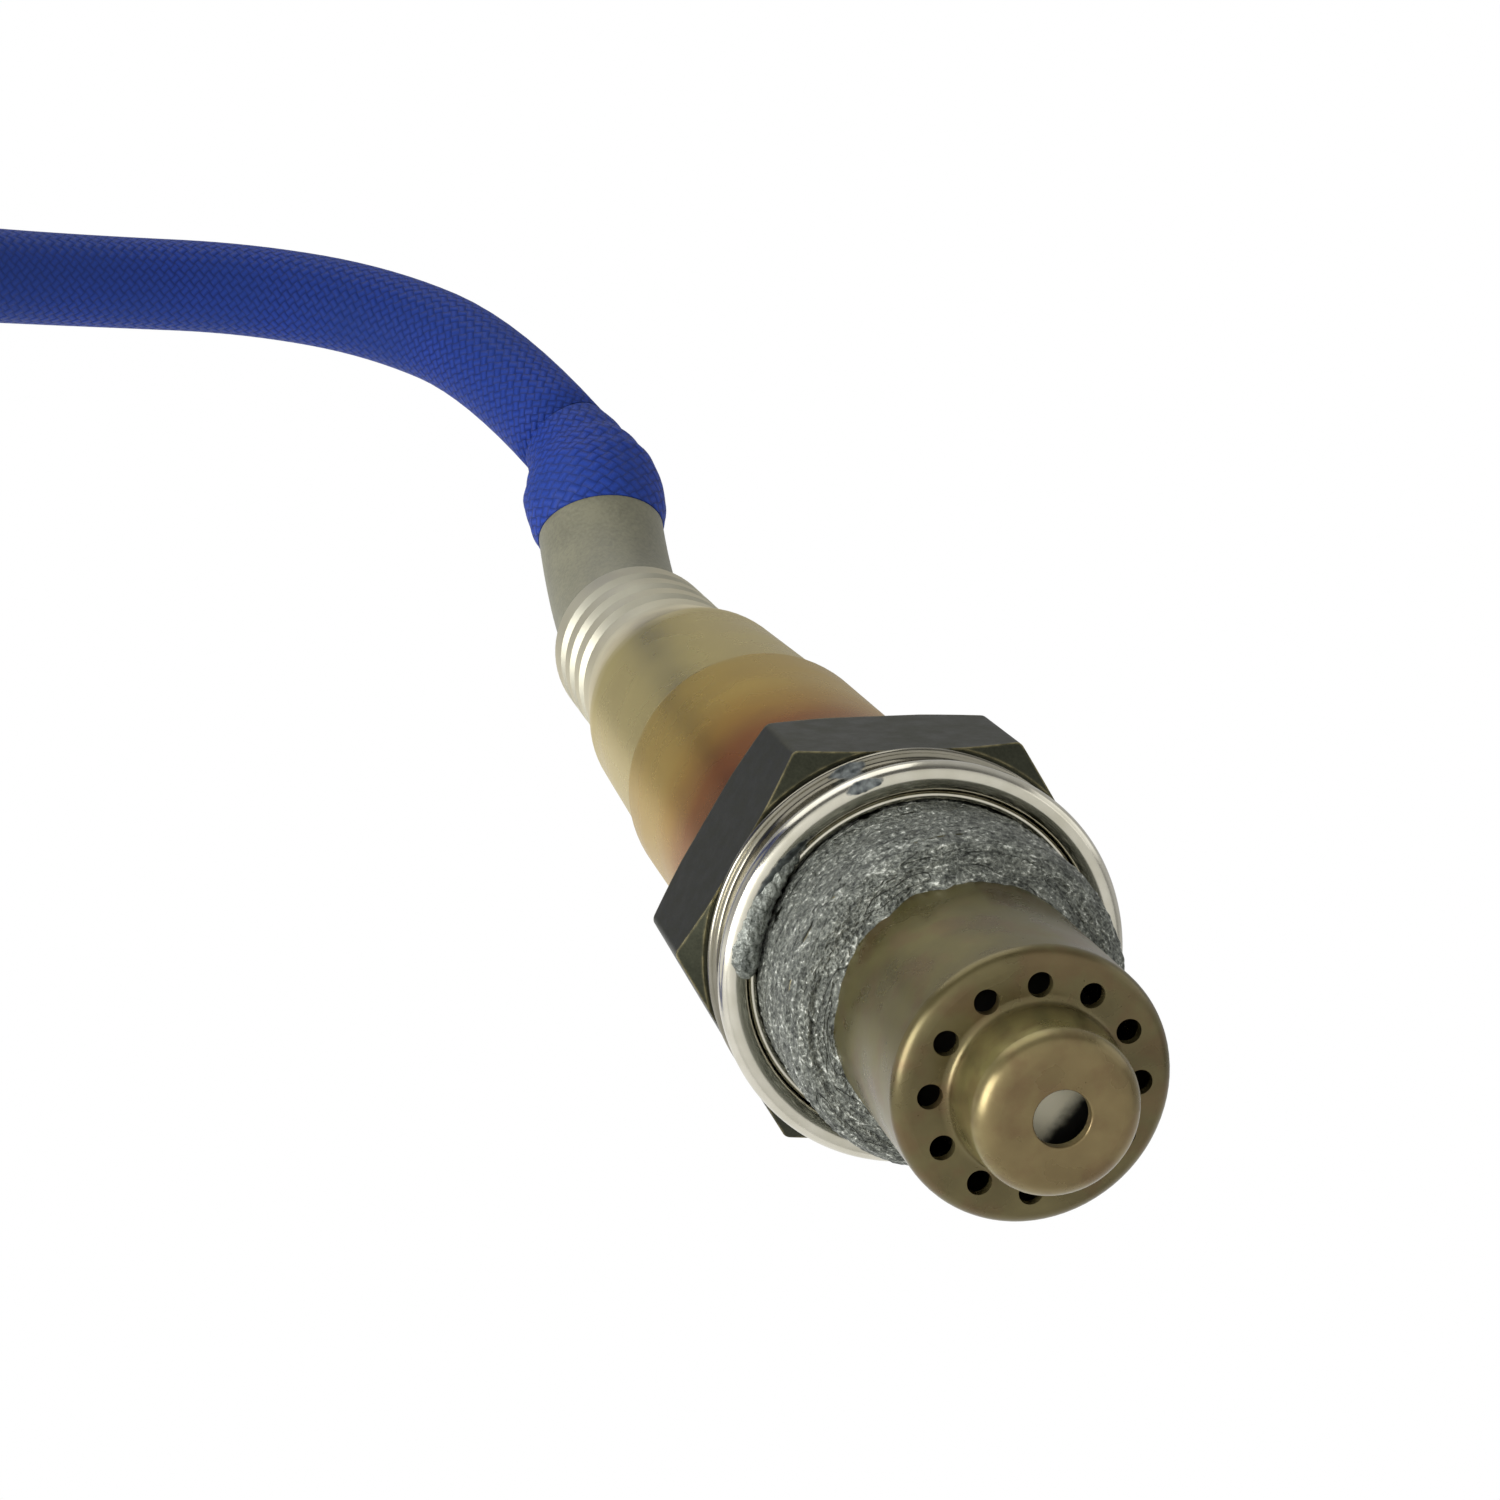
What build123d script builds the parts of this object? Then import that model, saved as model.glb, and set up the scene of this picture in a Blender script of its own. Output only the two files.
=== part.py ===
"""Wideband oxygen sensor with its lead, as an assembly of separate pieces.

Millimetres.  The origin is the middle of the hexagon's seat face, where the
sealing ring presses; +Z runs along the axis towards the lead, and the
measuring tip points down.  One flat of the hexagon faces -Y.
"""
from build123d import *
import os
from math import cos, degrees, pi, radians, sin, tan

os.makedirs("parts", exist_ok=True)

# ---------------------------------------------------------------- driving sizes
# housing: hexagon and threaded shank
across_flats = 22.0
hex_height = 7.8
corner_round = 0.5
hex_chamfer = 0.8
thread_radius = 9.0
thread_end = -10.2
thread_chamfer = 0.8
relief_radius = 8.3
relief_height = 1.5

# folded sealing ring, loose on the thread
ring_outer = 11.75
ring_height = 3.2
ring_sheet = 0.45
ring_bead = 1.85
ring_lip = 0.5
ring_play = 0.3

# outer protection tube with its ring of gas holes and its nose
tube_radius = 6.95
tube_wall = 0.5
tube_front = -21.95
tube_rim = 0.8
nose_radius = 4.05
nose_taper = 0.25
nose_height = 3.85
nose_edge = 1.1
nose_foot = 0.45
nose_hole = 1.4
gas_holes = 12
gas_hole_radius = 0.63
gas_hole_circle = 5.2
gas_hole_phase = 0.0

# inner protection tube
inner_radius = 4.9
inner_wall = 0.4
inner_step = -18.6
inner_nose_play = 0.3
inner_nose_gap = 1.6
inner_holes = 8
inner_hole_radius = 0.65
inner_hole_place = -13.0

# stack inside the housing
bush_radius = 6.2
bush_play = 0.08
seat_radius = 4.3
seat_place = -6.4
lower_bush_height = 4.4
talc_height = 5.0
upper_bush_height = 8.2
clamp_height = 1.4
clamp_hole = 3.6
lip_height = 0.8
lip_overlap = 1.0
boss_wall = 1.5

# ceramic sensing element
element_width = 4.2
element_thickness = 1.4
element_tip = -18.0
element_end = 46.0
slot_play = 0.12

# rear sleeve: two stages and a crimped neck
sleeve_wall = 0.6
stage_one_radius = 8.8
stage_one_end = 35.0
stage_step = 1.2
stage_two_radius = 8.35
stage_two_taper = 0.4
stage_two_end = 54.5
neck_radius = 6.75
neck_start = 62.0
neck_end = 77.5
crimps = 3
crimp_first = 3.2
crimp_pitch = 4.2
crimp_depth = 0.5
crimp_width = 2.2

# contact holder, contacts and lead wires
holder_radius = 7.3
holder_start = 30.0
holder_end = 50.0
holder_slot = (5.6, 4.6)
contact_sheet = 0.25
contact_width = 0.7
wire_radius = 0.8
wire_pitch = 1.75
wire_row = 1.55
barrel_length = 4.0
wire_seal_lead = 0.8
wire_seal_play = 0.05

# flexible boot that bends with the lead, and the sleeve's collar that bulges over its tail
boot_radius = 5.35
boot_wall = 1.5
boot_foot = 1.2
boot_stand = 1.5
boot_land = 0.8
boot_tail_radius = 4.7
boot_tail = 4.6
bend_radius = 22.0
bend_angle = 43.0
collar_mouth = 5.5
collar_bulge = 6.0
collar_straight = 7.2
collar_turn = 7.0
collar_out = 4.0
wire_hide = 1.6

# lead: sleeved cable, the points it is led through, its put-away coil and its tie
cable_diameter = 8.2
lead_points = [
    (-6.7, -19.4, 111.9),
    (-16.1, -23.1, 119.2),
    (-28.1, -25.0, 122.1),
    (-40.7, -25.8, 119.6),
    (-52.5, -27.0, 113.7),
    (-62.5, -28.6, 106.5),
    (-70.6, -31.8, 97.2),
    (-75.9, -36.5, 86.6),
    (-77.6, -42.0, 75.5),
    (-77.6, -48.2, 64.8),
]
drop_steps = [(-1.0, -14.0), (-3.6, -28.0)]
coil_diameter = 88.0
coil_turns = 2.0
coil_enter = 60.0
coil_leave = 90.0
tie_sheet = 1.2
tie_width = 5.0
tie_play = 0.2
tie_angle = 75.0

# six-way connector, mouth down
plug_width = 22.0
plug_depth = 12.5
plug_length = 27.0
plug_wall = 1.3
plug_round = 1.6
mouth_depth = 12.0
core_gap = 1.2
core_inset = 1.0
way_pitch = 5.4
way_row = 4.4
way_size = (2.6, 1.8)
cap_length = 12.0
cap_neck_radius = 5.4
seal_height = 3.0
terminal_length = 16.0
latch_width = 7.0
latch_sheet = 1.3
lock_height = 2.4


# ---------------------------------------------------------------- helpers
def turned(points, rounds=()):
    """Solid of revolution about Z from (radius, height) points, with some corners rounded."""
    face = make_face(Polyline(*points, close=True))
    for corner, radius in rounds:
        vertex = face.vertices().sort_by_distance((corner[0], corner[1], 0))[0]
        face = fillet(vertex, radius)
    return revolve(Plane.XZ * face, Axis.Z)


def around(count, phase=0.0):
    """Locations spaced evenly about the Z axis."""
    return [Rot(0, 0, phase + 360 * i / count) for i in range(count)]


def along(path, radius):
    """Round tube that follows a smooth path."""
    return sweep(Plane(origin=path @ 0, z_dir=path % 0) * Circle(radius), path=path)


def bar(width, depth, low, high):
    """Upright rectangular bar between two heights."""
    return Pos(0, 0, low) * extrude(Rectangle(width, depth), amount=high - low)


def save(name, shape):
    shape.label = name
    export_step(shape, f"parts/{name}.step")


# ---------------------------------------------------------------- hexagon housing
flange_top = seat_place - 2.2
flange_height = tube_wall + inner_wall
flange_radius = tube_radius + 0.75
shank_bore = bush_radius
lower_bush_top = seat_place + lower_bush_height
talc_top = lower_bush_top + talc_height
upper_bush_top = talc_top + upper_bush_height
clamp_top = upper_bush_top + clamp_height
boss_radius = bush_radius + boss_wall

shank = turned(
    [
        (seat_radius, flange_top),
        (flange_radius + bush_play, flange_top),
        (flange_radius + bush_play, flange_top - flange_height),
        (tube_radius + bush_play, flange_top - flange_height),
        (tube_radius + bush_play, thread_end),
        (thread_radius - thread_chamfer, thread_end),
        (thread_radius, thread_end + thread_chamfer),
        (thread_radius, -relief_height - thread_radius + relief_radius),
        (relief_radius, -relief_height),
        (relief_radius, 0),
        (relief_radius, hex_height),
        (boss_radius, hex_height),
        (boss_radius, clamp_top + lip_height),
        (bush_radius - lip_overlap, clamp_top + lip_height),
        (bush_radius - lip_overlap, clamp_top),
        (shank_bore, clamp_top),
        (shank_bore, seat_place),
        (seat_radius, seat_place),
    ],
    rounds=[((boss_radius, clamp_top + lip_height), 0.7)],
)
corner_radius = across_flats / 2 / cos(pi / 6)
hexagon = extrude(RegularPolygon(corner_radius, 6), amount=hex_height)
hexagon = fillet(hexagon.edges().filter_by(Axis.Z), corner_round)
chamfer_rise = hex_chamfer
chamfer_run = hex_chamfer / tan(radians(30))
chamfer_cone = turned(
    [
        (0, 0),
        (corner_radius - chamfer_run, 0),
        (corner_radius, chamfer_rise),
        (corner_radius, hex_height - chamfer_rise),
        (corner_radius - chamfer_run, hex_height),
        (0, hex_height),
    ]
)
hexagon = (hexagon & chamfer_cone) - Cylinder((bush_radius + relief_radius) / 2, 4 * hex_height)
save("hex_housing", shank + hexagon)

# ---------------------------------------------------------------- folded sealing ring
lip_inner = thread_radius + ring_play
lip_outer = lip_inner + ring_lip
bead_inner = ring_outer - ring_bead
bead_round = ring_bead / 2 - 0.02
flange_plate = turned(
    [
        (lip_inner, 0),
        (ring_outer - 0.1, 0),
        (ring_outer - 0.1, -ring_sheet),
        (lip_inner, -ring_sheet),
    ],
    rounds=[((ring_outer - 0.1, 0), 0.15)],
)
lip = turned(
    [
        (lip_inner, 0),
        (lip_outer, 0),
        (lip_outer, -ring_height + 0.9),
        (lip_inner, -ring_height + 0.9),
    ],
    rounds=[((lip_outer, -ring_height + 0.9), 0.22), ((lip_inner, -ring_height + 0.9), 0.22)],
)
bead = turned(
    [
        (bead_inner, -ring_sheet - 0.08),
        (ring_outer, -ring_sheet - 0.08),
        (ring_outer, -ring_height),
        (bead_inner, -ring_height),
    ],
    rounds=[((ring_outer, -ring_height), bead_round), ((bead_inner, -ring_height), bead_round)],
)
hollow = turned(
    [
        (bead_inner + ring_sheet, -ring_sheet),
        (ring_outer - ring_sheet, -ring_sheet),
        (ring_outer - ring_sheet, -ring_height + ring_sheet),
        (bead_inner + ring_sheet, -ring_height + ring_sheet),
    ],
    rounds=[
        ((ring_outer - ring_sheet, -ring_height + ring_sheet), bead_round - ring_sheet),
        ((bead_inner + ring_sheet, -ring_height + ring_sheet), bead_round - ring_sheet),
    ],
)
fold = turned(
    [
        (ring_outer - ring_sheet, -ring_sheet / 2),
        (ring_outer - 0.1, -ring_sheet / 2),
        (ring_outer - 0.1, -2 * ring_sheet),
        (ring_outer - ring_sheet, -2 * ring_sheet),
    ]
)
save("sealing_ring", flange_plate + lip + (bead - hollow) + fold)

# ---------------------------------------------------------------- protection tubes
flange_base = flange_top - inner_wall
nose_front = tube_front - nose_height
outer_tube = turned(
    [
        (tube_radius - tube_wall, flange_base),
        (flange_radius, flange_base),
        (flange_radius, flange_base - tube_wall),
        (tube_radius, flange_base - tube_wall),
        (tube_radius, tube_front),
        (nose_radius + nose_taper, tube_front),
        (nose_radius, nose_front),
        (nose_hole, nose_front),
        (nose_hole, nose_front + tube_wall),
        (nose_radius - tube_wall, nose_front + tube_wall),
        (nose_radius + nose_taper - tube_wall, tube_front + tube_wall),
        (tube_radius - tube_wall, tube_front + tube_wall),
    ],
    rounds=[
        ((tube_radius, tube_front), tube_rim),
        ((nose_radius + nose_taper, tube_front), nose_foot),
        ((nose_radius, nose_front), nose_edge),
        ((nose_hole, nose_front), 0.12),
    ],
)
gas_hole = Pos(gas_hole_circle, 0, tube_front) * Cylinder(gas_hole_radius, 4 * tube_wall)
for place in around(gas_holes, gas_hole_phase):
    outer_tube -= place * gas_hole
save("outer_protection_tube", outer_tube)

inner_nose = nose_radius - tube_wall - inner_nose_play
inner_front = nose_front + tube_wall + inner_nose_gap
shoulder_end = inner_step - (inner_radius - inner_nose)
inner_tube = turned(
    [
        (inner_radius - inner_wall, flange_top),
        (flange_radius, flange_top),
        (flange_radius, flange_base),
        (inner_radius, flange_base),
        (inner_radius, inner_step),
        (inner_nose, shoulder_end),
        (inner_nose, inner_front),
        (0, inner_front),
        (0, inner_front + inner_wall),
        (inner_nose - inner_wall, inner_front + inner_wall),
        (inner_nose - inner_wall, shoulder_end),
        (inner_radius - inner_wall, inner_step),
    ],
    rounds=[((inner_nose, inner_front), 0.5)],
)
side_hole = Pos(inner_radius, 0, inner_hole_place) * Rot(0, 90, 0)
side_hole = side_hole * Cylinder(inner_hole_radius, 3)
for place in around(inner_holes):
    inner_tube -= place * side_hole
save("inner_protection_tube", inner_tube)

# ---------------------------------------------------------------- element and seal stack
save("sensing_element", bar(element_width, element_thickness, element_tip, element_end))


def bush(low, high, edge=0.3):
    """Round ceramic or talc block with the slot that the element passes through."""
    block = Pos(0, 0, low) * extrude(Circle(bush_radius - bush_play), amount=high - low)
    block = chamfer(block.edges().filter_by(GeomType.CIRCLE), edge)
    slot = bar(element_width + 2 * slot_play, element_thickness + 2 * slot_play, low - 1, high + 1)
    return block - slot


save("lower_ceramic_bush", bush(seat_place, lower_bush_top))
save("talc_seal", bush(lower_bush_top, talc_top, edge=0.05))
save("upper_ceramic_bush", bush(talc_top, upper_bush_top))
clamp = Pos(0, 0, upper_bush_top) * extrude(
    Circle(bush_radius - bush_play) - Circle(clamp_hole), amount=clamp_height
)
save("clamp_ring", clamp)

# ---------------------------------------------------------------- rear sleeve
outline = [
    (stage_one_radius, hex_height),
    (stage_one_radius, stage_one_end),
    (stage_two_radius, stage_one_end + stage_step),
    (stage_two_radius - stage_two_taper, stage_two_end),
    (neck_radius, neck_start),
]
for place in [neck_start + crimp_first + i * crimp_pitch for i in range(crimps)]:
    outline += [
        (neck_radius, place - crimp_width / 2),
        (neck_radius - crimp_depth, place - crimp_width / 4),
        (neck_radius - crimp_depth, place + crimp_width / 4),
        (neck_radius, place + crimp_width / 2),
    ]
outline += [(neck_radius, neck_end)]
mouth = boot_radius + 0.1
bore = [(radius - sleeve_wall, height) for radius, height in reversed(outline)]
rim = [(neck_radius - 0.5, neck_end + 0.5), (mouth, neck_end + 0.5), (mouth, neck_end)]
sleeve = turned(
    outline + rim + bore,
    rounds=[
        ((stage_two_radius - stage_two_taper, stage_two_end), 2.4),
        ((stage_one_radius, stage_one_end), 0.8),
    ],
)
save("rear_sleeve", sleeve)

# ---------------------------------------------------------------- contact holder and contacts
holder = Pos(0, 0, holder_start) * extrude(Circle(holder_radius), amount=holder_end - holder_start)
holder = chamfer(holder.edges().filter_by(GeomType.CIRCLE), 0.8)
holder -= bar(*holder_slot, holder_start - 1, holder_end + 1)
save("contact_holder", holder)

spring_hold = Pos(0, 0, holder_start - 2.0) * extrude(
    Circle(stage_one_radius - sleeve_wall - 0.1) - Circle(holder_radius - 2.0), amount=2.0
)
save("holder_spring_ring", spring_hold)

wires = [(side * wire_pitch, wire_row) for side in (-1, 0, 1)]
wires += [(side * wire_pitch / 2, -wire_row) for side in (-1, 1)]
contact_bow = element_end - 4.0
for number, (x, y) in enumerate(wires, start=1):
    side = 1 if y > 0 else -1
    face = element_thickness / 2
    leaf = [
        (face + 1.1, holder_start + 2.0),
        (face, contact_bow),
        (abs(y), holder_end),
        (abs(y), holder_end + 1.2),
        (abs(y) + contact_sheet, holder_end + 1.2),
        (abs(y) + contact_sheet, holder_end),
        (face + contact_sheet, contact_bow),
        (face + 1.1 + contact_sheet, holder_start + 2.0),
    ]
    blade = make_face(Polyline(*[(side * a, b) for a, b in leaf], close=True))
    blade = extrude(Plane.YZ * blade, amount=contact_width / 2, both=True)
    barrel = Pos(0, y, holder_end + 1.0) * extrude(Circle(wire_radius), amount=barrel_length)
    save(f"contact_{number}", Pos(x, 0, 0) * (blade + barrel))

# ---------------------------------------------------------------- wire seal, wires, boot, collar
boot_foot_top = neck_end
boot_start = boot_foot_top - boot_foot
wire_start = holder_end + 1.0 + barrel_length
wire_seal_start = neck_start + wire_seal_lead
neck_bore = neck_radius - crimp_depth - sleeve_wall
wire_seal = Pos(0, 0, wire_seal_start) * extrude(
    Circle(neck_bore - wire_seal_play), amount=boot_start - wire_seal_start
)
for x, y in wires:
    wire_seal -= Pos(x, y, wire_seal_start - 1) * Cylinder(
        wire_radius + wire_seal_play, 60, align=(Align.CENTER, Align.CENTER, Align.MIN)
    )
save("wire_seal", wire_seal)

turn = radians(bend_angle)
bend_start = neck_end + boot_stand
lead_way = Vector(0, -sin(turn), cos(turn))
boot_end = Vector(0, -bend_radius * (1 - cos(turn)), bend_start + bend_radius * sin(turn))
wire_tail = boot_land + collar_straight - wire_hide


def bent(x, y, low, tail):
    """Path parallel to the boot's own: up the axis, round the bend, and on past it."""
    radius = bend_radius + y
    apex = Vector(x, y, bend_start + radius * tan(turn / 2))
    end = apex + lead_way * (radius * tan(turn / 2) + tail)
    return FilletPolyline((x, y, low), apex, end, radius=radius)


for number, (x, y) in enumerate(wires, start=1):
    save(f"lead_wire_{number}", along(bent(x, y, wire_start, wire_tail), wire_radius))

boot = along(bent(0, 0, boot_foot_top, boot_land), boot_radius)
foot = Pos(0, 0, boot_start) * extrude(
    Circle(neck_radius - sleeve_wall - wire_seal_play), amount=boot_foot
)
tail_plane = Plane(origin=boot_end, z_dir=lead_way)
tail = extrude(tail_plane * Circle(boot_tail_radius), amount=boot_tail)
boot_bore = along(bent(0, 0, boot_start - 1, boot_tail + 1), boot_radius - boot_wall)
save("silicone_boot", boot + foot + tail - boot_bore)

# The collar's middle line turns a little just past the boot's tail, towards the lead's second
# point, and its section swells over the tail before it narrows to the lead.
cable_radius = cable_diameter / 2
collar_start = boot_end + lead_way * boot_land
collar_kink = collar_start + lead_way * collar_straight
lead_turned = (Vector(*lead_points[0]) - collar_kink).normalized()
cable_start = collar_kink + lead_turned * collar_out
collar_line = FilletPolyline(collar_start, collar_kink, cable_start, radius=collar_turn)
swell = collar_bulge - cable_radius
sections = [
    (0.0, collar_mouth),
    (0.22, collar_bulge),
    (0.45, collar_bulge - 0.08 * swell),
    (0.65, collar_bulge - 0.38 * swell),
    (0.85, collar_bulge - 0.80 * swell),
    (1.0, cable_radius),
]
collar = loft(
    [
        Plane(origin=collar_line @ part, x_dir=(1, 0, 0), z_dir=collar_line % part) * Circle(radius)
        for part, radius in sections
    ]
)
for radius, end in ((boot_tail_radius + 0.05, boot_tail + 0.1), (cable_radius - 0.6, wire_tail)):
    collar -= tail_plane * extrude(Circle(radius), amount=end)
save("sleeve_collar", collar)

# ---------------------------------------------------------------- lead
# The lead leaves the collar, arches over and hangs down beside the sensor to its coil.
route = [cable_start, *lead_points]
coil_radius = coil_diameter / 2
enter = radians(coil_enter)
coil_x = route[-1][0]
coil_y = route[-1][1] + coil_radius * sin(enter)
coil_z = route[-1][2] - coil_radius * cos(enter)
coil_sweep = coil_turns + (coil_leave - coil_enter) / 360
coil_out_x = coil_x + cable_diameter * coil_sweep
coil_side_y = coil_y - coil_radius
drop = [(coil_out_x, coil_side_y, coil_z)]
drop += [(coil_out_x, coil_side_y + out, coil_z + down) for out, down in drop_steps]


def cable(points):
    """Straight runs joined by arcs, each arc as large as its two runs allow; prints the radii."""
    spots = [Vector(*p) for p in points]
    radii = []
    for before, here, after in zip(spots, spots[1:], spots[2:]):
        first, second = here - before, after - here
        angle = radians(first.get_angle(second))
        radii.append(0.45 * min(first.length, second.length) / tan(angle / 2))
    path = FilletPolyline(*spots, radius=radii if len(radii) > 1 else radii[0])
    tube = along(path, cable_radius)
    section = pi * cable_radius**2
    print("radii", [round(r, 1) for r in radii], "length", round(path.length, 1))
    print("volume over section times length", round(tube.volume / section / path.length, 4))
    return tube


lead_in, lead_out = cable(route), cable(drop)
save("cable_sleeve", lead_in)
save("cable_tail", lead_out)

coil_place = Pos(coil_x - cable_radius, coil_y, coil_z) * Rot(0, 90, 0)
coil_ring = Circle(coil_radius + cable_radius) - Circle(coil_radius - cable_radius)
coil_width = cable_diameter * (coil_sweep + 1)
coil = coil_place * extrude(coil_ring, amount=coil_width)
coil = fillet(coil.edges(), 0.35 * cable_radius)
save("cable_coil", coil - lead_in - lead_out)

# The tie's local X runs outwards from the coil's middle and its local Z along the turns.
turn_out = Vector(0, -sin(radians(tie_angle)), cos(radians(tie_angle)))
tie_middle = Vector(coil_x - cable_radius + coil_width / 2, coil_y, coil_z) + turn_out * coil_radius
tie_plane = Plane(origin=tie_middle, x_dir=turn_out, z_dir=turn_out.cross(Vector(1, 0, 0)))
loop_size = (cable_diameter + 2 * tie_play, coil_width + 2 * tie_play)
band = RectangleRounded(loop_size[0] + 2 * tie_sheet, loop_size[1] + 2 * tie_sheet, 2.0)
band -= RectangleRounded(*loop_size, 1.2)
buckle = Pos(loop_size[0] / 2 + tie_sheet + 1.2, 0, 0) * Box(2.6, 6.0, tie_width + 1.6)
save("coil_tie", tie_plane * (extrude(band, amount=tie_width / 2, both=True) + buckle))

# ---------------------------------------------------------------- connector
plug_top = drop[-1][2]
plug_place = Pos(coil_out_x, drop[-1][1], 0)
cap_low = plug_top - cap_length
shell_low = cap_low - plug_length


def rounded_bar(width, depth, low, high, radius):
    return Pos(0, 0, low) * extrude(RectangleRounded(width, depth, radius), amount=high - low)


cap_base = rounded_bar(plug_width, plug_depth, cap_low, cap_low + 4.0, plug_round)
cap_cone = loft(
    [
        Pos(0, 0, cap_low + 4.0) * RectangleRounded(plug_width, plug_depth, plug_round),
        Pos(0, 0, plug_top) * RectangleRounded(2.1 * cap_neck_radius, 2 * cap_neck_radius, 5.0),
    ]
)
cap_hollow = rounded_bar(
    plug_width - 2 * plug_wall, plug_depth - 2 * plug_wall, cap_low, cap_low + 3.6, 1.0
)
save("connector_cap", plug_place * (cap_base + cap_cone - cap_hollow) - lead_out)

shell = rounded_bar(plug_width, plug_depth, shell_low, cap_low, plug_round)
mouth_size = (plug_width - 2 * plug_wall, plug_depth - 2 * plug_wall)
core_size = (mouth_size[0] - 2 * core_gap, mouth_size[1] - 2 * core_gap)
mouth = rounded_bar(*mouth_size, shell_low, shell_low + mouth_depth, 0.8)
core = rounded_bar(*core_size, shell_low + core_inset, shell_low + mouth_depth, 0.6)
shell = shell - mouth + core
seal_top = cap_low
shell -= rounded_bar(*mouth_size, seal_top - seal_height, seal_top, 0.8)
ways = [(i * way_pitch, j * way_row / 2) for j in (-1, 1) for i in (-1, 0, 1)]
for x, y in ways:
    shell -= Pos(x, y, 0) * bar(*way_size, shell_low, seal_top)
for side in (-1, 1):
    rib = Pos(side * (plug_width / 2 + 0.5), 0, 0) * bar(1.4, 2.2, shell_low, shell_low + 14)
    shell += rib
save("connector_housing", plug_place * shell)

seal = rounded_bar(mouth_size[0] - 0.1, mouth_size[1] - 0.1, seal_top - seal_height, seal_top, 0.75)
for x, y in ways:
    seal -= Pos(x, y, seal_top) * Cylinder(wire_radius + 0.02, 4 * seal_height)
save("connector_seal", plug_place * seal)

for number, (x, y) in enumerate(ways, start=1):
    low = shell_low + core_inset + 1.0
    socket = bar(way_size[0] - 0.2, way_size[1] - 0.2, low, low + terminal_length * 0.6)
    socket -= bar(way_size[0] - 0.8, way_size[1] - 0.8, low, low + terminal_length * 0.4)
    stem = bar(1.2, 0.8, low + terminal_length * 0.6, seal_top - seal_height)
    save(f"terminal_{number}", plug_place * Pos(x, y, 0) * (socket + stem))

latch_gap = 1.4
latch_y = -plug_depth / 2 - latch_gap - latch_sheet / 2
arm = Pos(0, latch_y, 0) * bar(latch_width, latch_sheet, shell_low + 2, cap_low - 3)
root = Pos(0, -plug_depth / 2 - latch_gap / 2, 0) * bar(
    latch_width, latch_gap, shell_low + 9, shell_low + 12
)
thumb = Pos(0, latch_y - 0.8, 0) * bar(latch_width, 1.6, cap_low - 7, cap_low - 3)
save("connector_latch", plug_place * (arm + root + thumb))

lock = Pos(0, plug_depth / 2 + lock_height / 2, 0) * bar(12.0, lock_height, cap_low - 12, cap_low - 5)
save("terminal_lock", plug_place * fillet(lock.edges().filter_by(Axis.Z), 0.6))

resistor = Pos(0, 0, cap_low + 0.3) * extrude(Rectangle(6.0, 3.2), amount=1.4)
save("trim_resistor", plug_place * resistor)

print("cable route starts", [round(v, 2) for v in (cable_start.X, cable_start.Y, cable_start.Z)])
print("coil middle", [round(v, 2) for v in (coil_x, coil_y, coil_z)], "ends at x", round(coil_out_x, 2))
print("coil length", round(coil_sweep * pi * coil_diameter, 1))
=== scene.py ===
# %% [markdown]
# # Wideband oxygen sensor
#
# The sensor screws into an exhaust pipe with its measuring tip in the gas.  It is modelled in the frame of the
# hexagon: the origin is the middle of the seat face, +Z runs towards the lead and the tip points down.  The rigid
# pieces come from the CAD model and keep their shape.  This file gives them their finishes, and adds what a CAD
# model leaves out: the thread under its paste, the woven sleeve of the lead, and the light.

import bmesh
import bpy
from math import cos, exp, pi, radians, sin
from mathutils import Matrix, Vector, noise


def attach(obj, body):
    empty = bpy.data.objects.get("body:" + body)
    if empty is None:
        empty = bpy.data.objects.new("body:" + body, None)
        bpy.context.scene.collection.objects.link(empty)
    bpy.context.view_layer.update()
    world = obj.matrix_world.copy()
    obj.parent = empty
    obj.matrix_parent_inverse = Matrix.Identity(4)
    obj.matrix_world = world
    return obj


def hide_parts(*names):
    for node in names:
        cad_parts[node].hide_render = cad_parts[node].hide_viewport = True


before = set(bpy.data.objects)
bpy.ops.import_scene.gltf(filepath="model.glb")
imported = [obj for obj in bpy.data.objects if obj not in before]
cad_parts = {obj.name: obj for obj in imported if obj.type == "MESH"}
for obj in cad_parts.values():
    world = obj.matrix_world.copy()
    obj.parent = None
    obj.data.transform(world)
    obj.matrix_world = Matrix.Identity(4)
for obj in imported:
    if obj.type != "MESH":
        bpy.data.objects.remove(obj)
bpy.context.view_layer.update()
MM = 0.001
scene = bpy.context.scene
scene.view_settings.view_transform = "Standard"

# %% [markdown]
# ## Camera
#
# The camera stands below and to the side of the tip and looks along the body, so the tip is large and the lead
# small.  A lens about as long as a portrait lens, close up, gives that strong perspective.  Its direction is set by
# three axes at right angles, which is exact, where Euler angles would be harder to read.

# %% camera
camera_data = bpy.data.cameras.new("camera")
camera_data.sensor_width = 36.0
camera_data.lens = 67.2
camera_data.clip_start = 0.01
camera = bpy.data.objects.new("camera", camera_data)
scene.collection.objects.link(camera)
scene.camera = camera
camera_place = Vector((-41.92, -47.59, -139.38)) * MM
camera_looks = Vector((0.22332, 0.24525, 0.94339)).normalized()
camera_right = Vector((0.97396, -0.0172, -0.22609))
camera_right = (camera_right - camera_looks * camera_right.dot(camera_looks)).normalized()
camera_up = camera_right.cross(camera_looks)
turned = Matrix((camera_right, camera_up, -camera_looks)).transposed().to_4x4()
camera.matrix_world = Matrix.Translation(camera_place) @ turned
print("camera distance mm", round(camera_place.length / MM, 1))

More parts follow.
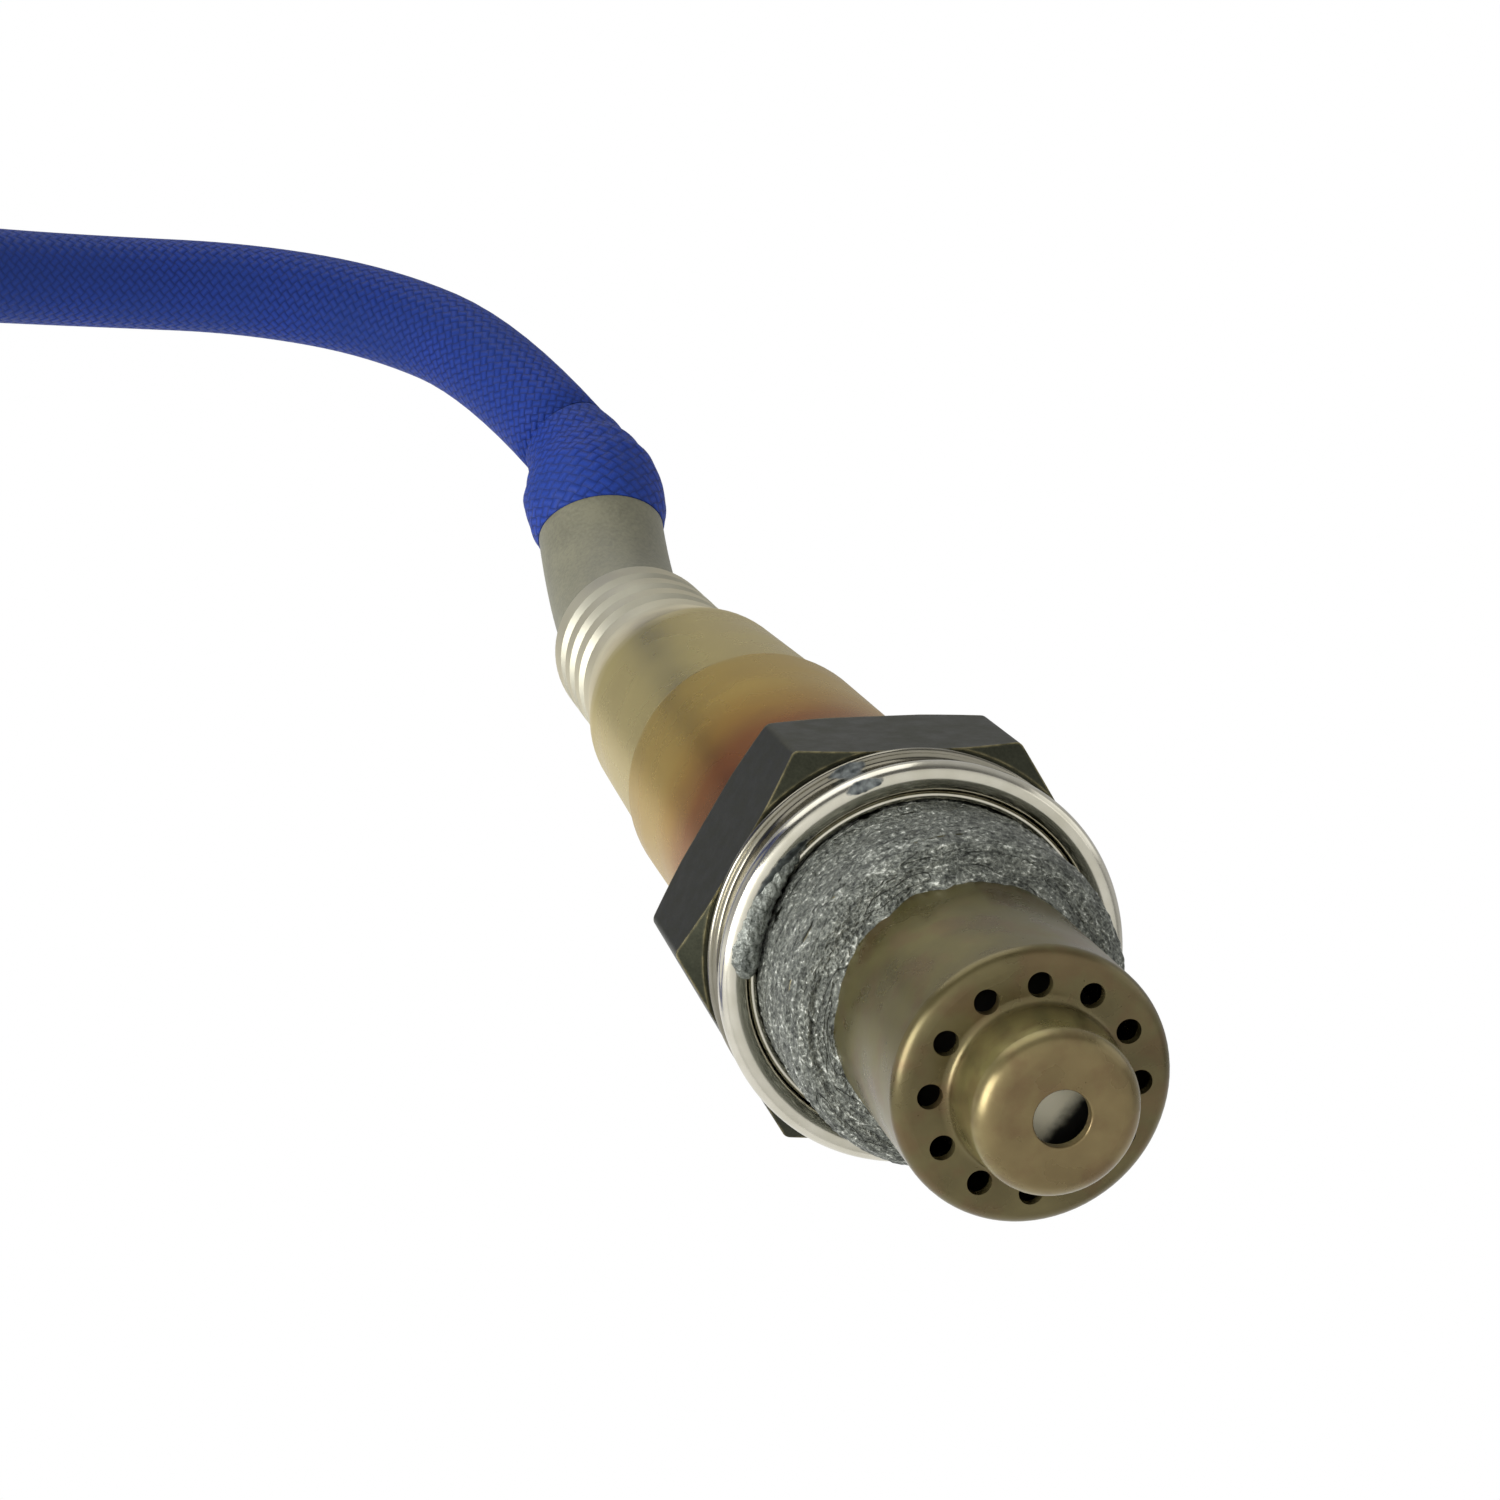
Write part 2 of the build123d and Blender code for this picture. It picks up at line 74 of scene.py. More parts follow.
# %% [markdown]
# ## Lead
#
# The lead is a bundle of insulated wires in a woven glass-fibre sleeve, coated with silicone.  It leaves the boot,
# arches over and hangs down beside the sensor, where the spare length is wound in a tied coil.  One NURBS spline
# holds the whole route, because a real lead is one continuous bend.  The turns of the coil are more points of the
# same spline, made by a loop.

# %% route of the lead
cable_diameter = 8.2 * MM
coil_radius = 44.0 * MM
coil_turns = 2.0
coil_enter, coil_leave = radians(60), radians(90)
route_mm = [
    (-1.68, -13.38, 102.87),
    (-6.7, -19.4, 111.9),
    (-16.1, -23.1, 119.2),
    (-28.1, -25.0, 122.1),
    (-40.7, -25.8, 119.6),
    (-52.5, -27.0, 113.7),
    (-62.5, -28.6, 106.5),
    (-70.6, -31.8, 97.2),
    (-75.9, -36.5, 86.6),
    (-77.6, -42.0, 75.5),
    (-77.6, -48.2, 64.8),
]
route = [Vector(p) * MM for p in route_mm]
coil_middle = route[-1] + Vector((0, coil_radius * sin(coil_enter), -coil_radius * cos(coil_enter)))
coil_angle = 2 * pi * coil_turns + coil_leave - coil_enter
coil_steps = 50
for i in range(1, coil_steps + 1):
    angle = coil_enter + coil_angle * i / coil_steps
    shift = cable_diameter * coil_angle / (2 * pi) * i / coil_steps
    route.append(coil_middle + Vector((shift, -coil_radius * sin(angle), coil_radius * cos(angle))))
coil_exit = route[-1]
drop_steps = [(0.0, -1.0, -14.0), (0.0, -3.6, -28.0)]
route += [coil_exit + Vector(step) * MM for step in drop_steps]
print("route has", len(route), "points")

# %% [markdown]
# The control points go into a curve object.  Blender works out the spline, and the finished points are read back,
# because the skin of the lead needs them one by one.

# %% spline through the route
def spline_curve(name, points):
    """Curve object with one NURBS spline of order 3 through its end points."""
    curve = bpy.data.curves.new(name, "CURVE")
    curve.dimensions = "3D"
    spline = curve.splines.new("NURBS")
    spline.points.add(len(points) - 1)
    for spot, point in zip(spline.points, points):
        spot.co = (*point, 1.0)
    spline.order_u = 3
    spline.use_endpoint_u = True
    spline.resolution_u = 8
    made = bpy.data.objects.new(name, curve)
    scene.collection.objects.link(made)
    return made


def line_through(name, points):
    """The points that the spline through some control points follows."""
    guide = spline_curve(name, points)
    mesh = bpy.data.meshes.new_from_object(guide)
    bpy.data.objects.remove(guide)
    return [v.co.copy() for v in mesh.vertices]


line = line_through("lead_guide", route)


# %% [markdown]
# A tube that follows the line needs a ring of points at each step that doesn't twist.  Each ring is turned from
# the one before by the smallest rotation between their directions.  The map along the tube is in metres, so that
# one weave fits the collar and the lead.

# %% tube along a line
tube_sides = 64


def link(name, mesh):
    made = bpy.data.objects.new(name, mesh)
    scene.collection.objects.link(made)
    return made


def tube_along(name, points, radius_at, around=tube_sides, start=0.0, side=None):
    """Smooth tube mesh; radius_at(distance, angle) gives its radius.  Returns the object and its last side."""
    mesh = bmesh.new()
    uv = mesh.loops.layers.uv.new("weave")
    ahead = (points[1] - points[0]).normalized()
    side = side.copy() if side else ahead.orthogonal().normalized()
    rings, travelled, distances = [], 0.0, []
    for i, point in enumerate(points):
        after = points[min(i + 1, len(points) - 1)]
        before = points[max(i - 1, 0)]
        now = (after - before).normalized()
        side.rotate(ahead.rotation_difference(now))
        ahead = now
        if i:
            travelled += (point - points[i - 1]).length
        other = ahead.cross(side)
        ring = []
        for k in range(around):
            angle = 2 * pi * k / around
            radius = radius_at(travelled, angle)
            ring.append(mesh.verts.new(point + (side * cos(angle) + other * sin(angle)) * radius))
        rings.append(ring)
        distances.append(start + travelled)
    girth = pi * cable_diameter
    for i in range(len(rings) - 1):
        for k in range(around):
            nxt = (k + 1) % around
            face = mesh.faces.new((rings[i][k], rings[i][nxt], rings[i + 1][nxt], rings[i + 1][k]))
            face.smooth = True
            spots = ((k, i), (k + 1, i), (k + 1, i + 1), (k, i + 1))
            for loop, (u, v) in zip(face.loops, spots):
                loop[uv].uv = (girth * u / around, distances[v])
    mesh.faces.new(list(reversed(rings[0])))
    mesh.faces.new(rings[-1])
    data = bpy.data.meshes.new(name)
    mesh.to_mesh(data)
    mesh.free()
    return link(name, data), side


print("a tube has", tube_sides, "sides")

# %% [markdown]
# The sleeve is pushed over the boot's tail and swells there, and the lead turns to one side just past it, which
# puckers the sleeve a little on the inside of the turn.  The collar is a tube of its own, with a rolled mouth, and
# the lead takes over its direction and its weave.

# %% collar and lead
collar_points = [Vector(p) * MM for p in ((0.0, -6.46, 94.59), (0.0, -11.37, 99.85), (-1.68, -13.38, 102.87))]
collar_line = line_through("collar_guide", collar_points)
collar_run = sum((b - a).length for a, b in zip(collar_line, collar_line[1:]))
collar_shape = [
    # share of the collar's run, radius in mm
    (0.0, 5.42),
    (0.05, 5.62),
    (0.14, 5.9),
    (0.3, 6.02),
    (0.45, 5.92),
    (0.62, 5.35),
    (0.8, 4.55),
    (1.0, 4.1),
]
pucker, ripple = 0.10, 0.06
ripple_length, mouth_ease = 11 * MM, 6 * MM


def collar_radius(distance, angle):
    part = min(distance / collar_run, 1.0)
    for (low, r0), (high, r1) in zip(collar_shape, collar_shape[1:]):
        if part <= high:
            blend = (part - low) / (high - low)
            blend = blend * blend * (3 - 2 * blend)
            swell = r0 + (r1 - r0) * blend
            break
    fold = pucker * sin(pi * part) ** 2 * sin(5 * angle + 9 * part)
    return (swell + fold) * MM


def denser(points, parts):
    """The same line with more points on each of its runs, for a smooth swelling."""
    made = [points[0]]
    for a, b in zip(points, points[1:]):
        made += [a.lerp(b, (i + 1) / parts) for i in range(parts)]
    return made


def lead_radius(distance, angle):
    easing = exp(-distance / mouth_ease)
    return cable_diameter / 2 + (ripple * sin(distance / ripple_length) * (1 - easing)) * MM


collar, collar_side = tube_along("sleeve_mouth", denser(collar_line, 3), collar_radius, start=-collar_run)
lead = tube_along("woven_lead", line, lead_radius, side=collar_side)[0]
for piece in (collar, lead):
    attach(piece, "root")
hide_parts("sleeve_collar")
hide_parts("cable_sleeve", "cable_coil", "cable_tail")
print("collar", round(collar_run / MM, 1), "mm along its middle")

# %% [markdown]
# ## Sealing ring
#
# The ring is folded from thin steel sheet before it is fitted, and it springs back a little less evenly than a
# drawing says.  Its section is drawn here as the sheet really lies: a thin flange on the hexagon, a waist, a round
# bead at the front, and a rolled lip round the thread.  Turning the section makes the ring, and it stands for the
# plainer ring of the CAD model.

# %% folded ring
def rounded_section(middle, half_wide, half_high, from_angle, to_angle, parts=20):
    """Points of part of an ellipse in the (radius, height) plane, in mm."""
    made = []
    for i in range(parts + 1):
        angle = radians(from_angle + (to_angle - from_angle) * i / parts)
        made.append((middle[0] + half_wide * cos(angle), middle[1] + half_high * sin(angle)))
    return made


flange_section = [(9.35, 0.0), (10.9, 0.0)]
flange_section += rounded_section((10.93, -0.24), 0.22, 0.24, 90, -90, 12)
flange_section += [(10.78, -0.50), (10.66, -0.62), (10.60, -1.0), (10.62, -1.6), (10.78, -2.2)]
flange_section += rounded_section((10.44, -3.22), 0.78, 0.84, 52, -190, 44)
flange_section += [(9.68, -2.6), (9.66, -1.6), (9.62, -0.62), (9.35, -0.5)]
lip_section = rounded_section((9.36, -3.14), 0.26, 0.36, 0, -180, 20)
lip_section += [(9.10, -1.6), (9.20, -0.3), (9.42, -0.3), (9.60, -1.6)]
print("sections have", len(flange_section), "and", len(lip_section), "points")

# %% [markdown]
# The ring is turned from those sections.  A pressed ring is never quite round, so its radius waves by a thousandth
# or two, which is enough to bend the reflections in it.

# %% turned ring
def turned_ring(name, sections, around=360):
    """Closed sections turned about the axis into one smooth mesh."""
    mesh = bmesh.new()
    for section in sections:
        loops = []
        for k in range(around):
            angle = 2 * pi * k / around
            wobble = 1 + 0.0016 * sin(3 * angle + 0.6) + 0.0010 * sin(7 * angle)
            across, up = wobble * cos(angle) * MM, wobble * sin(angle) * MM
            loops.append([mesh.verts.new((r * across, r * up, z * MM)) for r, z in section])
        for k in range(around):
            here, there = loops[k], loops[(k + 1) % around]
            for i in range(len(section)):
                j = (i + 1) % len(section)
                mesh.faces.new((here[i], there[i], there[j], here[j])).smooth = True
    bmesh.ops.recalc_face_normals(mesh, faces=mesh.faces)
    data = bpy.data.meshes.new(name)
    mesh.to_mesh(data)
    mesh.free()
    return link(name, data)


folded_ring = turned_ring("folded_ring", [flange_section, lip_section])
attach(folded_ring, "root")
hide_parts("sealing_ring")
print("ring faces", len(folded_ring.data.polygons))

# %% [markdown]
# ## Thread and its paste
#
# A new sensor comes with its thread filled with anti-seize paste.  The mesh is a turned surface from under the
# sealing ring, over the end of the shank, down to the protection tube.  The pitch of the thread shows only faintly
# through the paste.  The paste was spread with a turning stroke, so it is drawn out in fine streaks round the
# axis, and it tears into cracks and ends in a chipped edge on the tube.

# %% outline of the paste
profile = [
    # distance from the axis and height, in mm
    (9.02, -2.2),
    (9.03, -3.2),
    (9.08, -4.2),
    (9.11, -5.5),
    (9.11, -7.6),
    (9.10, -9.0),
    (9.03, -9.6),
    (8.78, -10.15),
    (8.32, -10.5),
    (7.75, -10.62),
    (7.25, -10.72),
    (6.90, -10.86),
]
spots = [Vector(p) for p in profile]
reach = [0.0]
for a, b in zip(spots, spots[1:]):
    reach.append(reach[-1] + (b - a).length)


def on_profile(way):
    """Point of the paste's outline at a share of its length, and the outward direction there."""
    want = way * reach[-1]
    for i in range(len(reach) - 1):
        if want <= reach[i + 1] or i == len(reach) - 2:
            part = (want - reach[i]) / (reach[i + 1] - reach[i])
            place = spots[i].lerp(spots[i + 1], part)
            break
    before, after = spots[max(i - 1, 0)], spots[min(i + 2, len(spots) - 1)]
    run = (after - before).normalized()
    return place, Vector((-run.y, run.x))


print("outline of the paste", round(reach[-1], 1), "mm")

# %% [markdown]
# What stands out of that outline is a sum: streaks stretched round the axis, lumps, grain, the faint crests of the
# thread, and cracks.  Each crack is a groove that runs round the axis, drifts a little and fades at both ends.

# %% streaks and cracks
thread_pitch, thread_end = 1.5, -9.2
cracks = [
    # angle in degrees, share of the outline, half length in degrees, drift of the share, depth in mm
    (-146.0, 0.66, 13.0, 0.10, 0.30),
    (-118.0, 0.36, 10.0, -0.03, 0.20),
    (-104.0, 0.30, 7.0, 0.02, 0.18),
    (-112.0, 0.58, 4.0, 0.0, 0.30),
    (-141.0, 0.93, 4.0, 0.02, 0.22),
    (-132.0, 0.94, 3.5, -0.02, 0.22),
    (-168.0, 0.55, 9.0, 0.05, 0.18),
    (-60.0, 0.50, 12.0, -0.05, 0.2),
    (30.0, 0.60, 15.0, 0.06, 0.25),
    (95.0, 0.42, 11.0, -0.05, 0.22),
    (140.0, 0.70, 12.0, 0.05, 0.25),
]


def paste_height(x, y, z, share, angle):
    """How far the paste stands out of its outline, in mm."""
    streak = noise.noise(Vector((x / 3.2, y / 3.2, share * 38.0))) * 0.10
    streak += noise.noise(Vector((x / 1.2, y / 1.2, share * 80.0 + 7.0))) * 0.06
    lumps = noise.noise(Vector((x / 1.4 + 30.0, y / 1.4, share * 8.0))) * 0.10
    grain = noise.noise(Vector((x / 0.36, y / 0.36, share * 34.0 + 3.0))) * 0.09
    thread = 0.035 * cos(2 * pi * (z / thread_pitch + angle / (2 * pi))) if z > thread_end else 0.0
    height = streak + lumps + grain + thread
    for middle, place, half, drift, depth in cracks:
        away = (angle * 180 / pi - middle + 180) % 360 - 180
        if abs(away) < half:
            wander = noise.noise(Vector((away / 2.5, middle, 0.0))) * 0.012
            off = (share - place - drift * away / half - wander) / 0.0055
            height -= depth * exp(-off * off) * (1 - (away / half) ** 2)
    return height


print("cracks", len(cracks))

# %% [markdown]
# The mesh is a grid: one ring of points for each step of the outline.  Toward the tube the ring of points drops by
# an uneven amount, which gives the chipped edge.  Its map is in metres, as that of the lead is.

# %% mesh of the paste
around, along_steps = 640, 150
paste_girth = 57.0 * MM
paste_mesh = bmesh.new()
paste_uv = paste_mesh.loops.layers.uv.new("spread")
rings = []
for j in range(along_steps + 1):
    share = j / along_steps
    place, out = on_profile(share)
    ring = []
    for k in range(around):
        angle = 2 * pi * k / around
        if angle > pi:
            angle -= 2 * pi
        x, y = place.x * cos(angle), place.x * sin(angle)
        height = paste_height(x, y, place.y, share, angle)
        fade = min(1.0, 12 * share)
        end = max(0.0, (share - 0.9) / 0.1)
        chip = noise.noise(Vector((3.1 * cos(angle), 3.1 * sin(angle), 4.0)))
        chip += 0.5 * noise.noise(Vector((11 * cos(angle), 11 * sin(angle), 2.0)))
        radius = place.x + max(height, -0.10) * fade * out.x * (1 - end)
        depth = place.y + height * fade * out.y * (1 - 0.5 * end) - end * (0.25 + 0.55 * chip)
        ring.append(paste_mesh.verts.new((radius * cos(angle) * MM, radius * sin(angle) * MM, depth * MM)))
    rings.append(ring)
for j in range(along_steps):
    for k in range(around):
        nxt = (k + 1) % around
        face = paste_mesh.faces.new((rings[j][k], rings[j + 1][k], rings[j + 1][nxt], rings[j][nxt]))
        face.smooth = True
        for loop, (u, v) in zip(face.loops, ((k, j), (k, j + 1), (k + 1, j + 1), (k + 1, j))):
            loop[paste_uv].uv = (paste_girth * u / around, reach[-1] * MM * v / along_steps)
paste_data = bpy.data.meshes.new("thread_paste")
paste_mesh.to_mesh(paste_data)
paste_mesh.free()
thread_paste = link("thread_paste", paste_data)
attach(thread_paste, "root")
print("paste faces", len(paste_data.polygons))

# %% [markdown]
# Some of the paste was pushed over the sealing ring on one side.  It is a chain of balls, merged by a voxel remesh
# into one lump with a rounded end, and roughened by noise.

# %% lump of paste on the ring
lump = bmesh.new()
chain = [
    # angle in degrees, then distance from the axis, height over the crest and radius in mm
    (-135.0, 9.70, -0.62, 0.30),
    (-139.0, 9.72, -0.52, 0.42),
    (-143.0, 9.76, -0.42, 0.52),
    (-147.0, 9.80, -0.34, 0.60),
    (-151.0, 9.84, -0.28, 0.66),
    (-155.0, 9.88, -0.22, 0.70),
    (-159.0, 9.90, -0.18, 0.72),
    (-163.0, 9.92, -0.14, 0.74),
    (-167.0, 9.94, -0.10, 0.78),
    (-170.5, 9.96, -0.04, 0.82),
    (-173.5, 9.96, -0.06, 0.80),
    (-176.5, 9.92, -0.16, 0.66),
]
crest = -3.85
for angle, away, rise, radius in chain:
    middle = Vector((away * cos(radians(angle)), away * sin(radians(angle)), crest - rise))
    bmesh.ops.create_icosphere(lump, subdivisions=3, radius=radius * MM, matrix=Matrix.Translation(middle * MM))
lump_data = bpy.data.meshes.new("paste_lump")
lump.to_mesh(lump_data)
lump.free()
print("balls", len(chain))

# %% [markdown]
# The remesh skins all the balls at once.  Three sizes of noise then push its points in and out.

# %% merge and roughen
rough_lump = link("paste_lump_rough", lump_data)
remesh = rough_lump.modifiers.new("remesh", "REMESH")
remesh.mode = "VOXEL"
remesh.voxel_size = 0.075 * MM
graph = bpy.context.evaluated_depsgraph_get()
smooth_lump = bpy.data.meshes.new_from_object(rough_lump.evaluated_get(graph))
bpy.data.objects.remove(rough_lump)
for vertex in smooth_lump.vertices:
    p = vertex.co / MM
    bulge = noise.noise(p * 1.3) * 0.10 + noise.noise(p * 3.4) * 0.06 + noise.noise(p * 8.0) * 0.035
    vertex.co += vertex.normal * bulge * MM
for face in smooth_lump.polygons:
    face.use_smooth = True
paste_lump = link("paste_lump", smooth_lump)
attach(paste_lump, "root")
print("lump faces", len(smooth_lump.polygons))

# %% [markdown]
# ## Helpers for finishes
#
# Colours are written as sRGB hex, as a paint card gives them, and one function turns them to the linear values
# that the renderer works in.  One small function adds a node with its settings and links.

# %% material helpers
def colour(text):
    """Linear RGBA from an sRGB hex string."""
    parts = [int(text[i : i + 2], 16) / 255 for i in (0, 2, 4)]
    return (*[p / 12.92 if p <= 0.04045 else ((p + 0.055) / 1.055) ** 2.4 for p in parts], 1.0)


def node(tree, kind, inputs=None, stops=None, **settings):
    """Add one node, with its settings, its input values or links, and a ramp's stops."""
    made = tree.nodes.new(kind)
    for name, value in settings.items():
        setattr(made, name, value)
    for name, value in (inputs or {}).items():
        if isinstance(value, bpy.types.NodeSocket):
            tree.links.new(value, made.inputs[name])
        else:
            made.inputs[name].default_value = value
    if stops:
        ramp = made.color_ramp
        for place, shade in stops[2:]:
            ramp.elements.new(place)
        for element, (place, shade) in zip(ramp.elements, sorted(stops)):
            element.position = place
            element.color = shade
    return made


def finish_of(name, **values):
    """New material with its shader's own sockets set; returns the material, its tree and its shader."""
    material = bpy.data.materials.new(name)
    material.use_nodes = True
    tree = material.node_tree
    shader = tree.nodes["Principled BSDF"]
    for socket, value in values.items():
        shader.inputs[socket.replace("_", " ")].default_value = value
    return material, tree, shader


def dress(material, *names):
    """Give CAD nodes a finish."""
    for name in names:
        for slot in bpy.data.objects[name].material_slots:
            slot.material = material


print("mid grey in linear light", [round(c, 3) for c in colour("808080")[:3]])

# %% [markdown]
# Most finishes here are even at arm's length and broken up close by.  One recipe makes them: a fine noise for the
# grain, a slow one for patches, two close shades, and a relief from the same grain.  The grain is given in real
# millimetres, so it keeps its size on a small terminal and on a big housing.

# %% speckled finish
def speckled(name, dark, light, grain_mm, rough, bump_mm=0.0, metallic=0.0, **values):
    """Even finish broken up as a real surface is: two close shades in grains and patches, and a fine relief."""
    material, tree, shader = finish_of(name, Metallic=metallic, **values)
    where = node(tree, "ShaderNodeTexCoord").outputs["Object"]
    fine = node(tree, "ShaderNodeTexNoise", {"Vector": where, "Scale": 1 / (grain_mm * MM), "Detail": 5.0})
    patch = node(tree, "ShaderNodeTexNoise", {"Vector": where, "Scale": 0.12 / (grain_mm * MM), "Detail": 3.0})
    both = node(
        tree, "ShaderNodeMix", {"Factor": 0.5, "A": fine.outputs["Fac"], "B": patch.outputs["Fac"]}, data_type="FLOAT"
    )
    shade = node(
        tree,
        "ShaderNodeValToRGB",
        {"Fac": both.outputs["Result"]},
        stops=[(0.36, colour(dark)), (0.62, colour(light))],
    )
    tree.links.new(shade.outputs["Color"], shader.inputs["Base Color"])
    gloss = node(
        tree,
        "ShaderNodeMapRange",
        {"Value": patch.outputs["Fac"], "From Min": 0.3, "From Max": 0.7, "To Min": rough[0], "To Max": rough[1]},
    )
    tree.links.new(gloss.outputs["Result"], shader.inputs["Roughness"])
    if bump_mm:
        relief = node(
            tree, "ShaderNodeBump", {"Height": fine.outputs["Fac"], "Distance": bump_mm * MM, "Strength": 1.0}
        )
        tree.links.new(relief.outputs["Normal"], shader.inputs["Normal"])
    return material, tree, shader


# %% [markdown]
# ## Light
#
# The sensor lies over a white table in a grey room.  The world is plain white where the camera sees it.  Where
# metal mirrors it, or it lights the pieces, it is white on the table's side, grey behind and dark where the camera
# stands.  The bright ring then has a broad white band along its lower left, and a metal tube mirrors the table
# only near its edge, as a pale strip, and keeps its own dark colour in the middle.

# %% world
world = bpy.data.worlds.new("light_tent")
scene.world = world
world.use_nodes = True
tree = world.node_tree
tree.nodes.clear()
way = node(tree, "ShaderNodeTexCoord")
away = node(
    tree,
    "ShaderNodeVectorMath",
    {0: way.outputs["Generated"], 1: tuple(camera_looks)},
    operation="DOT_PRODUCT",
)
room = node(
    tree,
    "ShaderNodeMapRange",
    {"Value": away.outputs["Value"], "From Min": -0.35, "From Max": 0.45, "To Min": 0.14, "To Max": 0.50},
    interpolation_type="SMOOTHSTEP",
)
table_way = Vector((-0.20, 0.98, 0.0)).normalized()
down = node(
    tree,
    "ShaderNodeVectorMath",
    {0: way.outputs["Generated"], 1: tuple(table_way)},
    operation="DOT_PRODUCT",
)
table = node(
    tree,
    "ShaderNodeMapRange",
    {"Value": down.outputs["Value"], "From Min": 0.14, "From Max": 0.30},
    interpolation_type="SMOOTHSTEP",
)
studio = node(
    tree,
    "ShaderNodeMix",
    {"Factor": table.outputs["Result"], "A": room.outputs["Result"], "B": 0.96},
    data_type="FLOAT",
)
paths = node(tree, "ShaderNodeLightPath")
level = node(
    tree,
    "ShaderNodeMix",
    {"Factor": paths.outputs["Is Camera Ray"], "A": studio.outputs["Result"], "B": 1.0},
    data_type="FLOAT",
)
sky = node(tree, "ShaderNodeBackground", {"Color": (1, 1, 1, 1), "Strength": level.outputs["Result"]})
node(tree, "ShaderNodeOutputWorld", {"Surface": sky.outputs["Background"]})
print("world nodes", len(tree.nodes))

# %% [markdown]
# Three soft boxes shape the metal.  The key stands low at one side and gives the tube its bright rim, a weaker one
# opens the shadow opposite, and the largest lights the hexagon and the sleeve from behind.  The floor is a white
# sheet far below, and it belongs to the stage and not to the part.

# %% lamps and floor
def softbox(name, place, size, power, aim=(0, 0, 0.01)):
    lamp = bpy.data.lights.new(name, "AREA")
    lamp.shape = "RECTANGLE"
    lamp.size, lamp.size_y = size
    lamp.energy = power
    made = bpy.data.objects.new(name, lamp)
    scene.collection.objects.link(made)
    made.location = place
    made.rotation_mode = "QUATERNION"
    made.rotation_quaternion = (Vector(aim) - Vector(place)).to_track_quat("-Z", "Y")


softbox("key_softbox", (-0.52, -0.07, -0.20), (0.30, 0.40), 3.8)
softbox("side_softbox", (0.45, -0.18, -0.05), (0.25, 0.40), 0.25)
softbox("top_softbox", (-0.16, -0.52, 0.30), (0.60, 0.50), 1.25)

floor_mesh = bpy.data.meshes.new("floor")
half = 0.7
floor_height = -0.30
floor_mesh.from_pydata(
    [(x * half, y * half, floor_height) for x, y in ((-1, -1), (1, -1), (1, 1), (-1, 1))], [], [(0, 1, 2, 3)]
)
floor = link("floor", floor_mesh)
paper, tree, shader = finish_of("white_paper", Base_Color=colour("f4f4f2"), Roughness=0.9)
floor.data.materials.append(paper)

# %% [markdown]
# ## Steel
#
# The metals keep the default IOR and take their colour from the base colour.  Heat leaves bands on stainless
# steel: near the hexagon the sleeve has been hot and is red-brown, then gold, then olive, and the far neck has
# kept its pale grey.  Those bands follow the distance along the axis, bent by noise.
#
# The hexagon is blackened.  Handling rubs the black off its edges.  A bevel node finds them: its rounded normal
# leaves the true one only near an edge, and noise then breaks the worn line into chips.

# %% housing: blackened steel with worn edges
steel, tree, shader = speckled("blackened_steel", "313229", "3d3e33", 0.14, (0.40, 0.52), 0.006, metallic=1.0)
shade = shader.inputs["Base Color"].links[0].from_socket
rounded = node(tree, "ShaderNodeBevel", {"Radius": 0.22 * MM}, samples=6)
flat = node(tree, "ShaderNodeNewGeometry")
match = node(
    tree,
    "ShaderNodeVectorMath",
    {0: rounded.outputs["Normal"], 1: flat.outputs["Normal"]},
    operation="DOT_PRODUCT",
)
where = node(tree, "ShaderNodeTexCoord").outputs["Object"]
chips = node(tree, "ShaderNodeTexNoise", {"Vector": where, "Scale": 1 / (0.8 * MM), "Detail": 4.0})
rubbed = node(
    tree,
    "ShaderNodeMapRange",
    {"Value": match.outputs["Value"], "From Min": 0.970, "From Max": 0.997, "To Min": 0.9, "To Max": 0.0},
)
broken = node(
    tree,
    "ShaderNodeMapRange",
    {"Value": chips.outputs["Fac"], "From Min": 0.40, "From Max": 0.58, "To Min": 0.25, "To Max": 1.0},
)
worn = node(
    tree, "ShaderNodeMath", {0: rubbed.outputs["Result"], 1: broken.outputs["Result"]}, operation="MULTIPLY"
)
edge = node(
    tree,
    "ShaderNodeMix",
    {0: worn.outputs["Value"], 6: shade, 7: colour("8f8664")},
    data_type="RGBA",
)
tree.links.new(edge.outputs[2], shader.inputs["Base Color"])
dress(steel, "hex_housing")
print("blackened steel nodes", len(tree.nodes))

# %% [markdown]
# The paste is dark graphite grease.  Its streaks run round the axis, so the noise is squeezed along the outline
# and stretched round it.  The outline's own length comes from the mesh's map; the other two coordinates are those
# of the object, which leaves no seam.

# %% paste
paste, tree, shader = finish_of("graphite_paste", Metallic=0.3)
where = node(tree, "ShaderNodeTexCoord").outputs["Object"]
spread = node(tree, "ShaderNodeUVMap", uv_map="spread")
flat = node(tree, "ShaderNodeSeparateXYZ", {"Vector": where})
drawn = node(tree, "ShaderNodeSeparateXYZ", {"Vector": spread.outputs["UV"]})


def squeezed(across_mm, along_mm):
    """Coordinates that change once per across_mm round the axis and once per along_mm along the outline."""
    parts = []
    ways = ((flat.outputs["X"], across_mm), (flat.outputs["Y"], across_mm), (drawn.outputs["Y"], along_mm))
    for source, size in ways:
        parts.append(node(tree, "ShaderNodeMath", {0: source, 1: 1 / (size * MM)}, operation="MULTIPLY"))
    return node(
        tree, "ShaderNodeCombineXYZ", {a: p.outputs["Value"] for a, p in zip("XYZ", parts)}
    ).outputs["Vector"]


